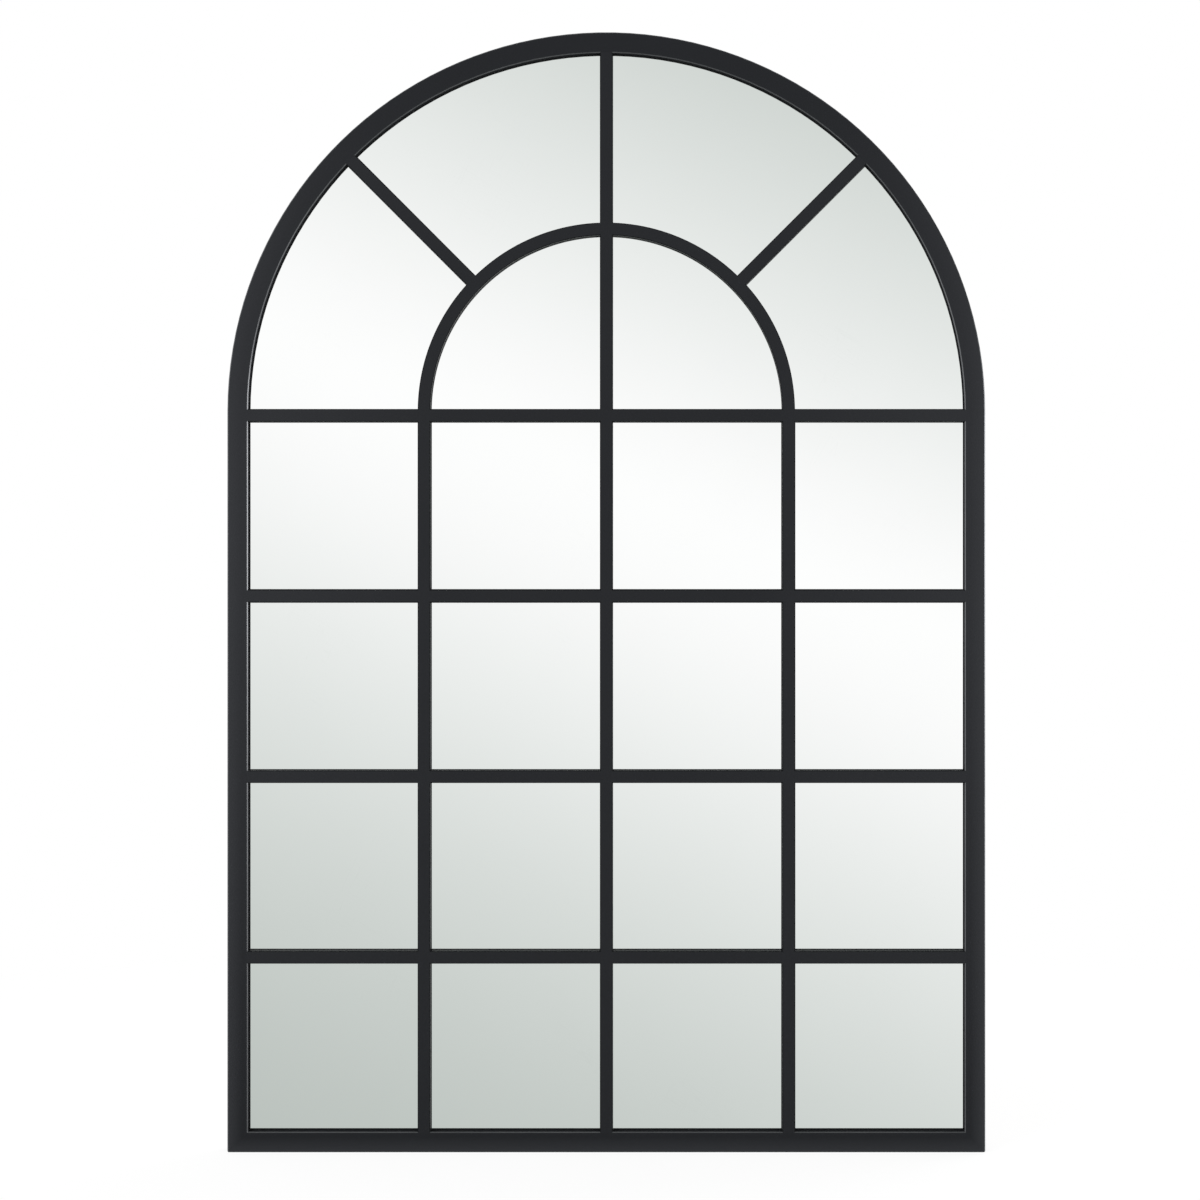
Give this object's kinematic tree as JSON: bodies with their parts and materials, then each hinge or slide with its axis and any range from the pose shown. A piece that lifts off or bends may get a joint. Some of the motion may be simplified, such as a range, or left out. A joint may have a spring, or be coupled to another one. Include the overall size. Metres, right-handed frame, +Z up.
{
  "type": "arched window mirror",
  "caption": "Wall mirror with an arched, window-pane steel frame, one sheet of mirror behind the grille, a fibreboard back and hanging rings.",
  "frame": {"origin": "on the wall plane, on the centre line, level with the spring line of the arch, where the two wall hooks carry the raised rings", "axes": "+Z up, +Y into the wall, so the mirror faces -Y, +X to the right of someone looking into it"},
  "size_m": [0.812, 0.028, 1.1999],
  "materials": {
    "satin_black_coat": "satin black powder coat on steel tube, welds ground flush",
    "silvered_glass": "polished silvered float glass",
    "fibreboard": "raw medium density fibreboard",
    "foam_tape": "closed-cell foam",
    "zinc_plate": "zinc-plated steel",
    "nickel_wire": "nickel-plated steel wire",
    "bumper_rubber": "matt black rubber"
  },
  "bodies": {
    "root": {"frame_arch": "satin_black_coat", "frame_stile_left": "satin_black_coat", "frame_stile_right": "satin_black_coat", "frame_bottom_rail": "satin_black_coat", "centre_bar": "satin_black_coat", "side_bar_left": "satin_black_coat", "side_bar_right": "satin_black_coat", "inner_arch_left": "satin_black_coat", "inner_arch_right": "satin_black_coat", "spoke_left": "satin_black_coat", "spoke_right": "satin_black_coat", "crossbar_row1_left_outer": "satin_black_coat", "crossbar_row1_left_inner": "satin_black_coat", "crossbar_row1_right_inner": "satin_black_coat", "crossbar_row1_right_outer": "satin_black_coat", "crossbar_row2_left_outer": "satin_black_coat", "crossbar_row2_left_inner": "satin_black_coat", "crossbar_row2_right_inner": "satin_black_coat", "crossbar_row2_right_outer": "satin_black_coat", "crossbar_row3_left_outer": "satin_black_coat", "crossbar_row3_left_inner": "satin_black_coat", "crossbar_row3_right_inner": "satin_black_coat", "crossbar_row3_right_outer": "satin_black_coat", "crossbar_row4_left_outer": "satin_black_coat", "crossbar_row4_left_inner": "satin_black_coat", "crossbar_row4_right_inner": "satin_black_coat", "crossbar_row4_right_outer": "satin_black_coat", "mirror_glass": "silvered_glass", "backing_board": "fibreboard", "mounting_tapes": "foam_tape", "retaining_clips": "zinc_plate", "clip_screws": "zinc_plate", "strap_screws": "zinc_plate", "hanger_strap_left": "zinc_plate", "hanger_strap_right": "zinc_plate", "wall_bumper_lower_left": "bumper_rubber", "wall_bumper_lower_right": "bumper_rubber", "wall_bumper_upper_left": "bumper_rubber", "wall_bumper_upper_right": "bumper_rubber"},
    "ring_left": {"d_ring_left": "nickel_wire"},
    "ring_right": {"d_ring_right": "nickel_wire"}
  },
  "joints": [
    {"name": "ring_left_swing", "type": "hinge", "parent": "root", "child": "ring_left", "pos_m": [-0.395, -0.00335, -0.0127], "axis": [1, 0, 0], "range_deg": [0, 180]},
    {"name": "ring_right_swing", "type": "hinge", "parent": "root", "child": "ring_right", "pos_m": [0.395, -0.00335, -0.0127], "axis": [1, 0, 0], "range_deg": [0, 180]}
  ]
}
